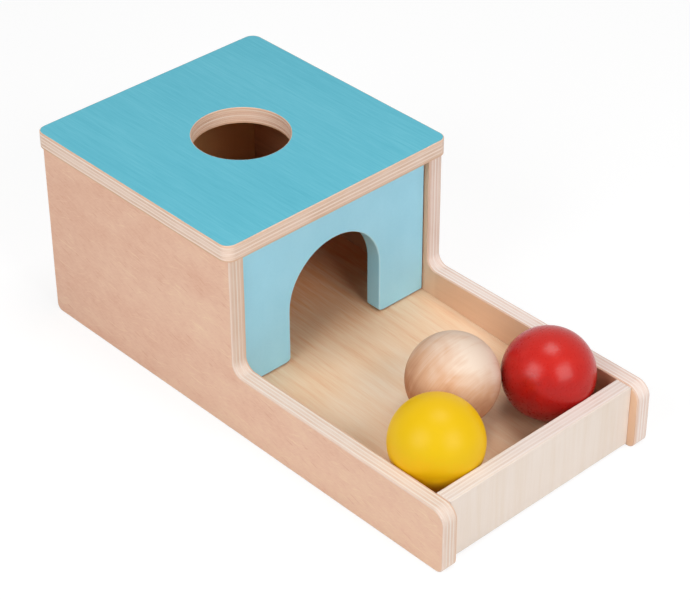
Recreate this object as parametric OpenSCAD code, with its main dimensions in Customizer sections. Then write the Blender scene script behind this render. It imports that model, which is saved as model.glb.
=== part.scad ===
// Object permanence box: a ball is dropped through the lid, rolls down the sloping
// floor, comes out of the arch and stops in the tray against the front rail.
// +X is right and +Y is towards the rear, seen from the tray end. Z = 0 is the table.

/* [Side panels] */
// Width over the two side panels
box_w = 146; // [125:0.1:160]
// Length of a side panel, tray included
side_l = 298; // [280:0.1:340]
// Height of the tall part of a side panel
side_h = 104.9; // [98:0.1:130]
// Thickness of a side panel
side_t = 9.3; // [8:0.1:12]
// Length of the low part beside the tray, up to the step
tray_l = 148.8; // [130:0.1:165]
// Height of the low part beside the tray
tray_h = 36.9; // [30:0.1:44]
// Rounding of the hollow corner at the step
step_r = 6.5; // [2:0.5:14]
// Rounding of the upper corner at the tray end
nose_top_r = 8; // [2:0.5:12]
// Rounding of the lower corner at the tray end
nose_foot_r = 4.5; // [2:0.5:10]
// Rounding of the lower corner at the rear end
heel_r = 4; // [1:0.5:10]

/* [Lid] */
// Thickness of the lid
lid_t = 9.6; // [8:0.1:12]
// Distance by which the lid stands out past the step and the rear ends
lid_overhang = 2.1; // [0.5:0.1:5]
// Distance by which the lid stands out past each side
lid_side_overhang = 2.6; // [0.5:0.1:5]
// Rounding of the lid's corners, seen from above
lid_corner_r = 6; // [3:0.5:15]
// Diameter of the hole that the ball drops through
hole_d = 52.2; // [51:0.1:60]
// Rounding of the hole's rims
hole_rim_r = 0.4; // [0.3:0.1:2]

/* [Arch panel] */
// Thickness of the arch panel
arch_t = 9.7; // [8:0.1:12]
// Distance from the step back to the panel's face
arch_setback = 3.1; // [1:0.1:10]
// Width of the arched doorway
arch_w = 62.9; // [54:0.1:70]
// Height of the doorway above the floor
arch_h = 62.8; // [54:0.1:66]
// Rounding of the doorway's edges
arch_edge_r = 0.8; // [0.5:0.1:2.5]
// Rounding of the inner toes of the two legs
arch_toe_r = 2; // [0.5:0.1:4]
// Gap between the panel and each side panel
arch_side_gap = 0.5; // [0.2:0.1:0.9]
// Gap between the legs and the floor
arch_foot_gap = 0.5; // [0.2:0.1:0.9]

/* [Floor] */
// Thickness of the floor board
floor_t = 5; // [4:0.1:6]
// Height of the floor's top face at the front rail
floor_front_z = 14.1; // [13.5:0.1:16]
// Height of the floor's top face at the rear panel
floor_rear_z = 29; // [20:0.1:32]
// Gap between the floor board and each side panel
floor_side_gap = 0.2; // [0.1:0.1:0.8]
// Width of the cleats that carry the floor board
cleat_w = 8; // [5:0.5:12]
// Height of the cleats that carry the floor board
cleat_h = 6; // [4:0.5:7]

/* [Front rail and rear panel] */
// Thickness of the front rail
rail_t = 9.4; // [8:0.1:12]
// Distance from the side panels' front ends back to the rail
rail_setback = 4.9; // [0:0.1:8]
// Gap between the table and the rail, and between the table and the rear panel
rail_foot = 1.2; // [0:0.1:4]
// Thickness of the rear panel
rear_t = 9.1; // [8:0.1:12]
// Distance from the side panels' rear ends back to the rear panel
rear_setback = 1.5; // [0:0.1:5]

/* [Balls] */
// Diameter of a ball
ball_d = 48.2; // [45:0.1:50]
// Gap between a ball and what it rests against
ball_gap = 0.3; // [0.2:0.05:0.5]

/* [Dowels] */
// Diameter of the hidden dowels
dowel_d = 5; // [4:0.1:6]
// Length of the hidden dowels
dowel_l = 18; // [14:0.5:20]
// Depth of a dowel in the broad face of a board
dowel_face_depth = 5.5; // [4:0.1:6]
// Bevel on a dowel's ends
dowel_bevel = 0.6; // [0.2:0.1:1]
// Clearance around a dowel
dowel_fit = 0.05; // [0.02:0.01:0.1]
// Clearance at a dowel's ends
dowel_end_gap = 0.5; // [0.2:0.1:1]
// Distance from the ends of the tall part to the lid's dowels
lid_dowel_inset = 22; // [12:0.5:40]

/* [Hidden] */

$fn = 96;

// Overrun of every cut
cut = 1;

// Heights of a board's end dowels, as shares of that board's height
rail_dowel_shares = [0.28, 0.72];
rear_dowel_shares = [0.3, 0.75];
arch_dowel_share = 0.62;
// Places of the two dowels on top of the arch panel, as a share of its half width
arch_top_dowel_share = 0.72;

// Colours
side_tint = [0.87, 0.72, 0.60];
inner_tint = [0.84, 0.69, 0.52];
floor_tint = [0.89, 0.79, 0.62];
rail_tint = [0.92, 0.86, 0.77];
lid_tint = [0.40, 0.73, 0.81];
arch_tint = [0.61, 0.79, 0.85];
dowel_tint = [0.85, 0.74, 0.60];
red_tint = [0.78, 0.13, 0.15];
yellow_tint = [0.96, 0.79, 0.12];
natural_tint = [0.88, 0.72, 0.58];

// Across the box
half_w = box_w / 2;
inner_half = half_w - side_t;
side_mid_x = half_w - side_t / 2;

// Along the box
total_l = side_l + lid_overhang;
front_y = -total_l / 2;
rear_y = front_y + side_l;
step_y = front_y + tray_l;
rail_front_y = front_y + rail_setback;
rail_rear_y = rail_front_y + rail_t;
arch_front_y = step_y + arch_setback;
arch_rear_y = arch_front_y + arch_t;
rear_out_y = rear_y - rear_setback;
rear_in_y = rear_out_y - rear_t;

// Lid
lid_front_y = step_y - lid_overhang;
lid_rear_y = rear_y + lid_overhang;
lid_w = box_w + 2 * lid_side_overhang;
lid_l = lid_rear_y - lid_front_y;
lid_mid_y = (lid_front_y + lid_rear_y) / 2;
hole_r = hole_d / 2;

// Floor, and the arch above it
floor_l = rear_in_y - rail_rear_y;
slope = atan((floor_rear_z - floor_front_z) / floor_l);
floor_drop = floor_t / cos(slope);
cleat_drop = cleat_h / cos(slope);
arch_r = arch_w / 2;
arch_half = inner_half - arch_side_gap;
arch_foot_z = floor_z(arch_rear_y) + arch_foot_gap;
arch_spring_z = floor_z(arch_front_y) + arch_h - arch_r;
arch_dowel_z = side_h * arch_dowel_share;
arch_top_dowel_x = arch_half * arch_top_dowel_share;

// Balls: two lie in the corners at the rail, against the top edges where they stand above
// them, and the third nests between them
ball_r = ball_d / 2;
ball_clear_r = ball_r + ball_gap;
corner_rise = max(0, ball_z(rail_rear_y + ball_clear_r) - tray_h);
corner_reach = sqrt(max(0, pow(ball_clear_r, 2) - pow(corner_rise, 2)));
corner_ball_x = inner_half - corner_reach;
corner_ball_y = rail_rear_y + corner_reach;
ball_pitch = ball_d + ball_gap;
nest_run = sqrt(max(0, pow(ball_pitch, 2) - pow(corner_ball_x, 2)));
natural_ball_y = corner_ball_y + nest_run * cos(slope);

// Height of the floor's top face at a place along the box
function floor_z(y) = floor_front_z + (y - rail_rear_y) * tan(slope);
// Height of the centre of a ball that rests on the floor at y
function ball_z(y) = floor_z(y) + ball_clear_r / cos(slope);

// What a rounded corner takes off a square one, for a body in the +x +y quarter
module corner_waste(r) {
    difference() {
        translate([-cut, -cut]) square(r + cut);
        translate([r, r]) circle(r);
    }
}

// A rectangle with round corners, centred
module round_rect(w, l, r) {
    square([w - 2 * r, l], center = true);
    square([w, l - 2 * r], center = true);
    for (x = [-1, 1], y = [-1, 1]) {
        translate([x * (w / 2 - r), y * (l / 2 - r)]) circle(r);
    }
}

// A ring that rounds over the rim of a hole whose axis is Z and whose face is at z = 0
module rim_waste(hole_r, r) {
    rotate_extrude() {
        difference() {
            translate([hole_r - cut, -r]) square([r + cut, r + cut]);
            translate([hole_r + r, -r]) circle(r);
        }
    }
}

// One dowel along +Z from the origin
module dowel() {
    r = dowel_d / 2;
    rotate_extrude() {
        polygon([
            [0, 0], [r - dowel_bevel, 0], [r, dowel_bevel],
            [r, dowel_l - dowel_bevel], [r - dowel_bevel, dowel_l], [0, dowel_l]
        ]);
    }
}

// The drilling for one dowel, with its clearances
module dowel_bore() {
    translate([0, 0, -dowel_end_gap]) {
        cylinder(r = dowel_d / 2 + dowel_fit, h = dowel_l + 2 * dowel_end_gap);
    }
}

// Places a dowel across each side panel's inner face, at height z and place y
module at_side_face(y, z) {
    for (side = [0, 1]) {
        mirror([side, 0, 0]) {
            translate([inner_half + dowel_face_depth - dowel_l, y, z]) rotate([0, 90, 0]) children();
        }
    }
}

// Places a dowel upright through the lid's underside
module at_lid_underside(x, y) {
    translate([x, y, side_h + dowel_face_depth - dowel_l]) children();
}

module at_lid_dowels() {
    for (x = [-side_mid_x, side_mid_x], y = [step_y + lid_dowel_inset, rear_y - lid_dowel_inset]) {
        at_lid_underside(x, y) children();
    }
}

module at_arch_top_dowels() {
    for (x = [-arch_top_dowel_x, arch_top_dowel_x]) {
        at_lid_underside(x, arch_front_y + arch_t / 2) children();
    }
}

module at_arch_side_dowels() {
    at_side_face(arch_front_y + arch_t / 2, arch_dowel_z) children();
}

module at_rear_dowels() {
    for (share = rear_dowel_shares) {
        at_side_face(rear_in_y + rear_t / 2, rail_foot + share * (side_h - rail_foot)) children();
    }
}

module at_rail_dowels() {
    for (share = rail_dowel_shares) {
        at_side_face(rail_front_y + rail_t / 2, rail_foot + share * (tray_h - rail_foot)) children();
    }
}

// Outline of a side panel, with 2-D x along the box and 2-D y up
module side_outline() {
    difference() {
        translate([front_y, 0]) square([side_l, side_h]);
        difference() {
            translate([front_y - cut, tray_h]) square([tray_l + cut, side_h - tray_h + cut]);
            difference() {
                translate([step_y - step_r, tray_h - cut]) square([step_r + cut, step_r + cut]);
                translate([step_y - step_r, tray_h + step_r]) circle(step_r);
            }
        }
        translate([front_y, 0]) corner_waste(nose_foot_r);
        translate([front_y, tray_h]) mirror([0, 1]) corner_waste(nose_top_r);
        translate([rear_y, 0]) mirror([1, 0]) corner_waste(heel_r);
    }
}

module side_panel() {
    difference() {
        translate([inner_half, 0, 0]) rotate([90, 0, 90]) linear_extrude(side_t) side_outline();
        at_lid_dowels() dowel_bore();
        at_arch_side_dowels() dowel_bore();
        at_rear_dowels() dowel_bore();
        at_rail_dowels() dowel_bore();
    }
}

module left_side() {
    color(side_tint) mirror([1, 0, 0]) side_panel();
}

module right_side() {
    color(side_tint) side_panel();
}

module lid() {
    color(lid_tint) difference() {
        translate([0, lid_mid_y, side_h]) linear_extrude(lid_t) round_rect(lid_w, lid_l, lid_corner_r);
        translate([0, lid_mid_y, side_h - cut]) cylinder(r = hole_r, h = lid_t + 2 * cut);
        translate([0, lid_mid_y, side_h + lid_t]) rim_waste(hole_r, hole_rim_r);
        translate([0, lid_mid_y, side_h]) mirror([0, 0, 1]) rim_waste(hole_r, hole_rim_r);
        at_lid_dowels() dowel_bore();
        at_arch_top_dowels() dowel_bore();
    }
}

// Outline of the arch panel, with 2-D y up
module arch_outline() {
    difference() {
        translate([-arch_half, arch_foot_z]) square([2 * arch_half, side_h - arch_foot_z]);
        translate([-arch_r, arch_foot_z - cut]) square([arch_w, arch_spring_z - arch_foot_z + cut]);
        translate([0, arch_spring_z]) circle(arch_r);
        translate([arch_r, arch_foot_z]) corner_waste(arch_toe_r);
        translate([-arch_r, arch_foot_z]) mirror([1, 0]) corner_waste(arch_toe_r);
    }
}

// Rounds over the doorway's edge on the face at y = 0 of a panel that lies at y > 0
module doorway_edge_waste() {
    translate([0, 0, arch_spring_z]) rotate([90, 0, 0]) rim_waste(arch_r, arch_edge_r);
    for (side = [0, 1]) {
        mirror([side, 0, 0]) translate([arch_r, 0, arch_foot_z - cut]) {
            linear_extrude(arch_spring_z - arch_foot_z + cut) corner_waste(arch_edge_r);
        }
    }
}

module arch_panel() {
    color(arch_tint) difference() {
        translate([0, arch_rear_y, 0]) rotate([90, 0, 0]) linear_extrude(arch_t) arch_outline();
        translate([0, arch_front_y, 0]) doorway_edge_waste();
        translate([0, arch_rear_y, 0]) mirror([0, 1, 0]) doorway_edge_waste();
        at_arch_top_dowels() dowel_bore();
        at_arch_side_dowels() dowel_bore();
    }
}

module rear_panel() {
    color(inner_tint) difference() {
        translate([-inner_half, rear_in_y, rail_foot]) {
            cube([2 * inner_half, rear_t, side_h - rail_foot]);
        }
        at_rear_dowels() dowel_bore();
    }
}

// Side view of a board that follows the slope, from drop_top to drop_foot below the floor's top
module sloped_outline(drop_top, drop_foot) {
    polygon([
        [rail_rear_y, floor_front_z - drop_foot], [rear_in_y, floor_rear_z - drop_foot],
        [rear_in_y, floor_rear_z - drop_top], [rail_rear_y, floor_front_z - drop_top]
    ]);
}

module floor_board() {
    floor_half = inner_half - floor_side_gap;
    color(floor_tint) translate([-floor_half, 0, 0]) rotate([90, 0, 90]) {
        linear_extrude(2 * floor_half) sloped_outline(0, floor_drop);
    }
}

module cleat() {
    translate([inner_half - cleat_w, 0, 0]) rotate([90, 0, 90]) {
        linear_extrude(cleat_w) sloped_outline(floor_drop, floor_drop + cleat_drop);
    }
}

module left_cleat() {
    color(inner_tint) mirror([1, 0, 0]) cleat();
}

module right_cleat() {
    color(inner_tint) cleat();
}

module front_rail() {
    color(rail_tint) difference() {
        translate([-inner_half, rail_front_y, rail_foot]) {
            cube([2 * inner_half, rail_t, tray_h - rail_foot]);
        }
        at_rail_dowels() dowel_bore();
    }
}

module lid_dowels() {
    color(dowel_tint) at_lid_dowels() dowel();
}

module arch_dowels() {
    color(dowel_tint) {
        at_arch_top_dowels() dowel();
        at_arch_side_dowels() dowel();
    }
}

module rear_dowels() {
    color(dowel_tint) at_rear_dowels() dowel();
}

module rail_dowels() {
    color(dowel_tint) at_rail_dowels() dowel();
}

module ball(x, y) {
    translate([x, y, ball_z(y)]) sphere(ball_r);
}

module red_ball() {
    color(red_tint) ball(corner_ball_x, corner_ball_y);
}

module yellow_ball() {
    color(yellow_tint) ball(-corner_ball_x, corner_ball_y);
}

module natural_ball() {
    color(natural_tint) ball(0, natural_ball_y);
}

left_side();
right_side();
lid();
arch_panel();
rear_panel();
floor_board();
front_rail();
left_cleat();
right_cleat();
lid_dowels();
arch_dowels();
rear_dowels();
rail_dowels();
red_ball();
yellow_ball();
natural_ball();
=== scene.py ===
"""Looks of a wooden object permanence box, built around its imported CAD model.

Every board is rebuilt with sanded arrises and gets plywood, veneer, stain or paint, the balls are
turned from wood and the dowels are fluted. Sizes are in millimetres until a mesh is written, in
the CAD model's own frame: +X is right, +Y is towards the rear and Z = 0 is the table.
"""

import logging
import math
from collections.abc import Sequence
from dataclasses import dataclass, field
from enum import Enum, IntEnum

import bmesh
import bpy
import numpy as np
from mathutils import Matrix, Vector
from mathutils.geometry import tessellate_polygon


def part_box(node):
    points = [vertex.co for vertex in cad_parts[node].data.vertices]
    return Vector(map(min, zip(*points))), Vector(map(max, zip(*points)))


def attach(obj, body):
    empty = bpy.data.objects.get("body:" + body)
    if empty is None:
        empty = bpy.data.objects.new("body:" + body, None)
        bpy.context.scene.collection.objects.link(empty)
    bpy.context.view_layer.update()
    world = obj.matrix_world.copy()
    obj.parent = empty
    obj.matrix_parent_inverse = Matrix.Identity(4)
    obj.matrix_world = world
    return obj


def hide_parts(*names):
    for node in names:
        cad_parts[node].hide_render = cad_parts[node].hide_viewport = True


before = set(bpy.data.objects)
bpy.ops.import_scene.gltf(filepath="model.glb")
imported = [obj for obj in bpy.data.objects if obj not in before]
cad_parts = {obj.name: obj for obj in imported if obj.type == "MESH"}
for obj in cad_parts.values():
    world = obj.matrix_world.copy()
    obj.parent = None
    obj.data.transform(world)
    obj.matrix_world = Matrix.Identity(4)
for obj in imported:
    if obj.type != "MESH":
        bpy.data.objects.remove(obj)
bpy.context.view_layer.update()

logging.basicConfig(level=logging.INFO, format="%(name)s: %(message)s")
log = logging.getLogger("permanence_box")

MM = 0.001
ROOT = "root"

Colour = tuple[float, float, float, float]
Socket = bpy.types.NodeSocket
Value = float | int | Socket


class Axis(Enum):
    """A direction of the model's frame."""

    X = 0
    Y = 1
    Z = 2


class Facing(Enum):
    """How a board lies: the frame directions of its outline's x and y, and of its thickness."""

    SIDEWAYS = ((0, 1, 0), (0, 0, 1), (1, 0, 0))
    UPWARDS = ((1, 0, 0), (0, 1, 0), (0, 0, 1))
    FORWARDS = ((1, 0, 0), (0, 0, 1), (0, -1, 0))


def tint(code: str) -> Colour:
    """Turns a colour as it is seen on a screen into the linear colour that a shader takes.

    Args:
        code: Six hexadecimal digits, red, green and blue.

    Returns:
        Linear red, green, blue and a full alpha.
    """
    seen = (int(code[i : i + 2], 16) / 255 for i in (0, 2, 4))
    linear = [c / 12.92 if c <= 0.04045 else ((c + 0.055) / 1.055) ** 2.4 for c in seen]
    return (*linear, 1.0)


def tints(*codes: str) -> tuple[Colour, ...]:
    """Turns several colours of the screen into linear ones."""
    return tuple(tint(code) for code in codes)


def span(node: str) -> tuple[np.ndarray, np.ndarray]:
    """Gives the lowest and highest corner of a CAD node at rest, in millimetres."""
    low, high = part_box(node)
    return np.array(low) / MM, np.array(high) / MM


# ---------------------------------------------------------------- node sheets


class Sheet:
    """Writes a node tree one node at a time, for a material or for geometry."""

    def __init__(self, tree: bpy.types.NodeTree) -> None:
        """Starts on an empty tree."""
        self.tree = tree
        self.tree.nodes.clear()

    def add(
        self, kind: str, feeds: dict[str | int, object] | None = None, **settings: object
    ) -> bpy.types.Node:
        """Adds one node.

        Args:
            kind: The node's type.
            feeds: A value or a socket for each input, by the input's name or number.
            settings: The node's own properties.

        Returns:
            The new node.
        """
        node = self.tree.nodes.new(kind)
        for key, value in settings.items():
            setattr(node, key, value)
        for key, value in (feeds or {}).items():
            if isinstance(value, Socket):
                self.tree.links.new(value, node.inputs[key])
            else:
                node.inputs[key].default_value = value
        return node

    def math(self, operation: str, *values: Value) -> Socket:
        """Gives the result of one Math node on up to three values."""
        return self.add("ShaderNodeMath", dict(enumerate(values)), operation=operation).outputs[0]

    def vector(self, operation: str, *values: Socket | tuple) -> Socket:
        """Gives the result of one Vector Math node on up to three vectors."""
        node = self.add("ShaderNodeVectorMath", dict(enumerate(values)), operation=operation)
        return node.outputs[0]

    def noise(self, vector: Socket, detail: float, distortion: float = 0.0) -> Socket:
        """Gives a noise from about 0 to 1 whose marks are one unit of the vector across."""
        feeds = {"Vector": vector, "Scale": 1.0, "Detail": detail, "Distortion": distortion}
        return self.add("ShaderNodeTexNoise", feeds).outputs[0]

    def split(self, vector: Socket) -> Sequence[Socket]:
        """Gives the x, y and z of a vector."""
        return self.add("ShaderNodeSeparateXYZ", {0: vector}).outputs


@dataclass(frozen=True)
class Figure:
    """One scale of marks in wood: their length along the grain and their width across it.

    The weight says how strongly they show, and lean turns them off the grain, in degrees. Rare
    marks are few thin flecks, which leave the wood between them as it is.
    """

    length: float
    width: float
    weight: float
    lean: float = 0.0
    detail: float = 2.0
    rare: bool = False


@dataclass(frozen=True)
class Fade:
    """A slow change of tone along one direction, from start to end in millimetres.

    The tone stays as it is where the neutral share of the change is reached.
    """

    axis: Axis
    start: float
    end: float
    amount: float
    neutral: float = 0.5


class MaterialSheet(Sheet):
    """Writes one material.

    Its scales of marks are set apart in millimetres, so that they never line up. A rare mark
    shows where its noise rises between the two rare levels.
    """

    SHEEN = 0.3
    RARE_FROM = 0.7
    RARE_FULL = 0.8
    APART = 37.0

    def __init__(self, name: str) -> None:
        """Starts an empty material that reads the object's own coordinates.

        Args:
            name: The material's name.
        """
        self.material = bpy.data.materials.new(name)
        self.material.use_nodes = True
        super().__init__(self.material.node_tree)
        coordinates = self.add("ShaderNodeTexCoord").outputs
        self.place, self.facing = coordinates["Object"], coordinates["Normal"]

    def marks(
        self,
        size: Sequence[float],
        turn: Sequence[float] = (0, 0, 0),
        centre: Sequence[float] = (0, 0, 0),
    ) -> Socket:
        """Gives coordinates in which one unit is one mark.

        Args:
            size: The mark's size along each axis, in millimetres.
            turn: How far the marks are turned about each axis, in degrees.
            centre: The point that they turn about, in millimetres.

        Returns:
            The vector socket.
        """
        feeds = {
            "Vector": self.place,
            "Location": [c * MM for c in centre],
            "Rotation": [math.radians(t) for t in turn],
            "Scale": [s * MM for s in size],
        }
        return self.add("ShaderNodeMapping", feeds, vector_type="TEXTURE").outputs[0]

    def mottle(self, size: float, detail: float = 2.0, shift: float = 0.0) -> Socket:
        """Gives a noise of round marks of one size, in millimetres."""
        return self.noise(self.marks([size] * 3, centre=[shift] * 3), detail)

    def swing(
        self, pattern: Socket, amount: float, about: float = 0.0, neutral: float = 0.5
    ) -> Socket:
        """Gives a value that swings by an amount as a pattern goes from 0 to 1.

        Args:
            pattern: The pattern.
            amount: How far the value swings in all.
            about: The value where the pattern is neutral.
            neutral: The pattern's neutral level.

        Returns:
            The value's socket.
        """
        return self.math("MULTIPLY_ADD", pattern, amount, about - amount * neutral)

    def figure(self, figures: Sequence[Figure], grain: Axis, face: Axis) -> Socket:
        """Adds up several scales of marks into one pattern about 0.5.

        Args:
            figures: The scales.
            grain: The direction that the grain runs in.
            face: The direction that the board's face looks in, which leaning marks turn about.

        Returns:
            The pattern's socket.
        """
        total: Value = 0.5
        for number, figure in enumerate(figures):
            size, turn = [figure.width] * 3, [0.0] * 3
            size[grain.value], turn[face.value] = figure.length, figure.lean
            centre = [self.APART * number] * 3
            noise = self.noise(self.marks(size, turn, centre), figure.detail)
            if figure.rare:
                fleck = self.step(noise, self.RARE_FROM, self.RARE_FULL)
                share = self.math("MULTIPLY", fleck, figure.weight)
            else:
                share = self.swing(noise, figure.weight)
            total = self.math("ADD", total, share)
        return total

    def faded(self, pattern: Socket, fade: Fade) -> Socket:
        """Adds a slow change of tone to a pattern.

        Args:
            pattern: The pattern.
            fade: The change.

        Returns:
            The changed pattern's socket.
        """
        place = self.split(self.place)[fade.axis.value]
        change = self.step(place, fade.start * MM, fade.end * MM)
        return self.math("ADD", pattern, self.swing(change, fade.amount, neutral=fade.neutral))

    def ramp(self, factor: Socket, stops: dict[float, Colour]) -> Socket:
        """Turns a pattern into colours.

        Args:
            factor: The pattern.
            stops: The colour for each of some levels of the pattern.

        Returns:
            The colour's socket.
        """
        node = self.add("ShaderNodeValToRGB", {"Fac": factor})
        elements = node.color_ramp.elements
        while len(elements) < len(stops):
            elements.new(0.5)
        for element, (position, colour) in zip(elements, sorted(stops.items())):
            element.position, element.color = position, colour
        return node.outputs["Color"]

    def mix(self, factor: Value, first: Socket | Colour, second: Socket | Colour) -> Socket:
        """Gives the mix of two colours."""
        feeds = {0: factor, 6: first, 7: second}
        return self.add("ShaderNodeMix", feeds, data_type="RGBA").outputs[2]

    def step(self, value: Socket, start: float, end: float) -> Socket:
        """Gives 0 before start, 1 after end and a smooth step between them."""
        feeds = {"Value": value, "From Min": start, "From Max": end}
        return self.add("ShaderNodeMapRange", feeds, interpolation_type="SMOOTHSTEP").outputs[0]

    def surface(
        self,
        colour: Socket,
        roughness: Value,
        height: Socket,
        relief: float,
        share: Value = 1.0,
        sheen: float = SHEEN,
    ) -> bpy.types.Material:
        """Ends the material with its shader.

        Args:
            colour: The base colour.
            roughness: The roughness.
            height: A pattern from 0 to 1 that stands proud.
            relief: How far it stands proud, in millimetres.
            share: How much of that relief shows.
            sheen: The shader's specular level.

        Returns:
            The finished material.
        """
        bump = {"Height": height, "Distance": relief * MM, "Strength": share}
        feeds = {
            "Base Color": colour,
            "Roughness": roughness,
            "Specular IOR Level": sheen,
            "Normal": self.add("ShaderNodeBump", bump).outputs[0],
        }
        shader = self.add("ShaderNodeBsdfPrincipled", feeds)
        self.add("ShaderNodeOutputMaterial", {"Surface": shader.outputs[0]})
        return self.material


# ---------------------------------------------------------------- finishes


@dataclass(frozen=True)
class WoodFace:
    """A clear-coated or stained wood face, whose pattern runs from a dark tone to a pale one."""

    name: str
    dark: Colour
    tone: Colour
    pale: Colour
    grain: Axis
    face: Axis
    figures: tuple[Figure, ...]
    roughness: float = 0.5
    relief: float = 0.02
    fades: tuple[Fade, ...] = ()
    pin_pitch: float = 0.0
    pin_radius: float = 0.5
    pin_core: float = 0.5
    pin_depth: float = 0.7

    def material(self) -> bpy.types.Material:
        """Makes the material, with rare dark pin marks where pin_pitch is set.

        Returns:
            The finished material.
        """
        sheet = MaterialSheet(self.name)
        figure = sheet.figure(self.figures, self.grain, self.face)
        shade = figure
        for fade in self.fades:
            shade = sheet.faded(shade, fade)
        if self.pin_pitch:
            vector = sheet.marks([self.pin_pitch] * 3)
            cells = sheet.add("ShaderNodeTexVoronoi", {"Vector": vector, "Scale": 1.0})
            radius = self.pin_radius / self.pin_pitch
            clear = sheet.step(cells.outputs["Distance"], radius * self.pin_core, radius)
            shade = sheet.math("ADD", shade, sheet.swing(clear, self.pin_depth, neutral=1.0))
        colour = sheet.ramp(shade, {0.0: self.dark, 0.5: self.tone, 1.0: self.pale})
        return sheet.surface(colour, self.roughness, figure, self.relief)


@dataclass(frozen=True)
class PlyEdge:
    """The edge of a plywood board, where pale end grain and darker long grain show in turn.

    The plies are counted from start to end along the board's thickness, and waver a little. The
    odd ones have their grain along one direction and the even ones across it. Long grain, glue
    lines, each ply's own tone and the fibres darken the edge by their amounts, and the two
    outermost plies take on the tones of the board's faces.
    """

    name: str
    thickness: Axis
    start: float
    end: float
    along: Axis
    across: Axis
    tones: tuple[Colour, ...]
    skins: tuple[Colour, ...]
    fades: tuple[Fade, ...] = ()
    plies: int = 9
    waver: float = 0.5
    waver_size: float = 26.0
    glue: float = 0.25
    glue_from: float = 0.4
    glue_full: float = 0.49
    own: float = 0.16
    long_grain: float = 0.5
    least_grain: float = 0.05
    patch_size: float = 16.0
    patch_shift: float = 50.0
    fibres: tuple[Figure, ...] = (Figure(22.0, 0.35, 1.0), Figure(5.0, 0.18, 0.6))
    fibre: float = 0.3
    skin: float = 0.6
    roughness: float = 0.55
    relief: float = 0.03

    def material(self) -> bpy.types.Material:
        """Makes the material from the distance across the board and the way the edge faces.

        Returns:
            The finished material.
        """
        sheet = MaterialSheet(self.name)
        feeds = {
            "Value": sheet.split(sheet.place)[self.thickness.value],
            "From Min": self.start * MM,
            "From Max": self.end * MM,
            "To Min": 0.0,
            "To Max": float(self.plies),
        }
        depth = sheet.add("ShaderNodeMapRange", feeds, clamp=False).outputs[0]
        drift = sheet.mottle(self.waver_size, 1.0)
        depth = sheet.math("ADD", depth, sheet.swing(drift, self.waver))
        number = sheet.math("FLOOR", depth)
        even = sheet.math("PINGPONG", number, 1.0)
        facing = sheet.split(sheet.facing)
        grains = (self.along, self.across)
        shares = [sheet.math("ABSOLUTE", facing[axis.value]) for axis in grains]
        ends = sheet.math("DIVIDE", shares[0], sheet.math("ADD", *shares))
        odd = sheet.math("SUBTRACT", 1.0, even)
        long_grain = sheet.math("ABSOLUTE", sheet.math("SUBTRACT", odd, ends))
        middle = sheet.math("SUBTRACT", sheet.math("FRACT", depth), 0.5)
        glue = sheet.step(sheet.math("ABSOLUTE", middle), self.glue_from, self.glue_full)
        own = sheet.add("ShaderNodeTexWhiteNoise", {"W": number}, noise_dimensions="1D").outputs[0]
        fibres = [sheet.figure(self.fibres, axis, self.thickness) for axis in grains]
        feeds = {0: even, 2: fibres[0], 3: fibres[1]}
        fibre = sheet.add("ShaderNodeMix", feeds, data_type="FLOAT").outputs[0]
        patches = sheet.mottle(self.patch_size, shift=self.patch_shift)
        strength = sheet.math("MULTIPLY_ADD", patches, self.long_grain, self.least_grain)
        shade = sheet.math("MULTIPLY", long_grain, strength)
        shade = sheet.math("MULTIPLY_ADD", glue, self.glue, shade)
        shade = sheet.math("MULTIPLY_ADD", own, self.own, shade)
        shade = sheet.math("ADD", shade, sheet.swing(fibre, self.fibre))
        for fade in self.fades:
            shade = sheet.faded(shade, fade)
        pale, mid, dark = self.tones
        colour = sheet.ramp(shade, {0.0: pale, 0.5: mid, 1.0: dark})
        first = sheet.math("LESS_THAN", depth, 1.0)
        last = sheet.math("GREATER_THAN", depth, self.plies - 1.0)
        for ply, skin in zip((first, last), self.skins):
            colour = sheet.mix(sheet.math("MULTIPLY", ply, self.skin), colour, skin)
        return sheet.surface(colour, self.roughness, fibre, self.relief)


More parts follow.
